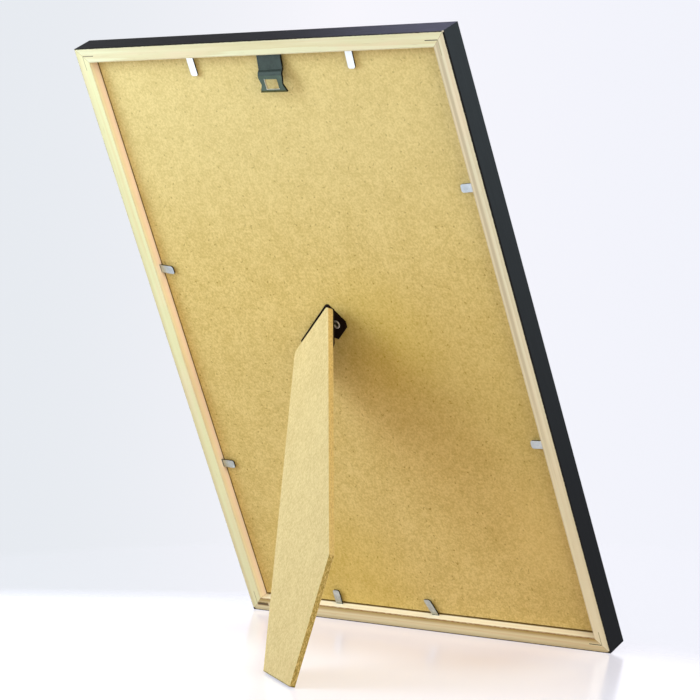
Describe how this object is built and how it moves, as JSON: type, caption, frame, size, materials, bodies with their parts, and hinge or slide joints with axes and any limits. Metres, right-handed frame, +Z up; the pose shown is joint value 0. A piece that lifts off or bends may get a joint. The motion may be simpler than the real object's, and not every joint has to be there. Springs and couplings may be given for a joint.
{
  "type": "easel back photo frame",
  "caption": "Slim portrait photo frame of mitred painted rails leaning back on a hinged easel leg, with bending back tabs, a backing board and a stamped hanger.",
  "frame": {"origin": "on the table under the middle of the standing object", "axes": "+Z up, the picture faces -Y and leans back towards +Y, +X to the right seen from the front"},
  "size_m": [0.226, 0.1681, 0.2921],
  "materials": {
    "black_painted_pine": "satin black paint outside, raw pine on the back and in the rebate",
    "fibreboard": "raw, smooth pressed faces with darker cut edges",
    "zinc_steel": "bright zinc plated",
    "nail_steel": "dull dark steel",
    "blued_steel": "dark blued",
    "black_steel": "satin black",
    "rivet_steel": "dull yellowed plating",
    "clear_pane": "clear",
    "paper": "matte"
  },
  "bodies": {
    "frame": {"bottom_rail": "black_painted_pine", "left_rail": "black_painted_pine", "top_rail": "black_painted_pine", "right_rail": "black_painted_pine", "corner_nails": "nail_steel", "glazing_pane": "clear_pane", "print_sheet": "paper", "backing_board": "fibreboard", "tab_shanks": "zinc_steel", "hanger": "blued_steel", "hinge_plate": "black_steel", "hinge_rivets": "rivet_steel", "hinge_pin": "black_steel"},
    "leg": {"easel_leg": "fibreboard", "hinge_leaf": "black_steel"},
    "tab_bottom_a_blade": {"tab_bottom_a": "zinc_steel"},
    "tab_bottom_b_blade": {"tab_bottom_b": "zinc_steel"},
    "tab_left_a_blade": {"tab_left_a": "zinc_steel"},
    "tab_left_b_blade": {"tab_left_b": "zinc_steel"},
    "tab_top_a_blade": {"tab_top_a": "zinc_steel"},
    "tab_top_b_blade": {"tab_top_b": "zinc_steel"},
    "tab_right_a_blade": {"tab_right_a": "zinc_steel"},
    "tab_right_b_blade": {"tab_right_b": "zinc_steel"}
  },
  "joints": [
    {"name": "leg_hinge", "type": "hinge", "parent": "frame", "child": "leg", "pos_m": [0.0138, -0.01203, 0.15243], "axis": [-0.7501, 0.2605, 0.6078], "range_deg": [0, 50.3]},
    {"name": "tab_bottom_a_bend", "type": "hinge", "parent": "frame", "child": "tab_bottom_a_blade", "pos_m": [0.05457, -0.07349, 0.00866], "axis": [-1, 0, 0], "range_deg": [0, 80]},
    {"name": "tab_bottom_b_bend", "type": "hinge", "parent": "frame", "child": "tab_bottom_b_blade", "pos_m": [-0.00761, -0.07349, 0.00866], "axis": [-1, 0, 0], "range_deg": [0, 80]},
    {"name": "tab_left_a_bend", "type": "hinge", "parent": "frame", "child": "tab_left_a_blade", "pos_m": [-0.10505, -0.03378, 0.1013], "axis": [0, 0.3939, 0.9191], "range_deg": [0, 80]},
    {"name": "tab_left_b_bend", "type": "hinge", "parent": "frame", "child": "tab_left_b_blade", "pos_m": [-0.10505, 0.01714, 0.2201], "axis": [0, 0.3939, 0.9191], "range_deg": [0, 80]},
    {"name": "tab_top_a_bend", "type": "hinge", "parent": "frame", "child": "tab_top_a_blade", "pos_m": [-0.05414, 0.04355, 0.28173], "axis": [1, 0, 0], "range_deg": [0, 80]},
    {"name": "tab_top_b_bend", "type": "hinge", "parent": "frame", "child": "tab_top_b_blade", "pos_m": [0.04315, 0.04355, 0.28173], "axis": [1, 0, 0], "range_deg": [0, 80]},
    {"name": "tab_right_a_bend", "type": "hinge", "parent": "frame", "child": "tab_right_a_blade", "pos_m": [0.10505, 0.00008, 0.18032], "axis": [0, -0.3939, -0.9191], "range_deg": [0, 80]},
    {"name": "tab_right_b_bend", "type": "hinge", "parent": "frame", "child": "tab_right_b_blade", "pos_m": [0.10505, -0.04307, 0.07962], "axis": [0, -0.3939, -0.9191], "range_deg": [0, 80]}
  ]
}
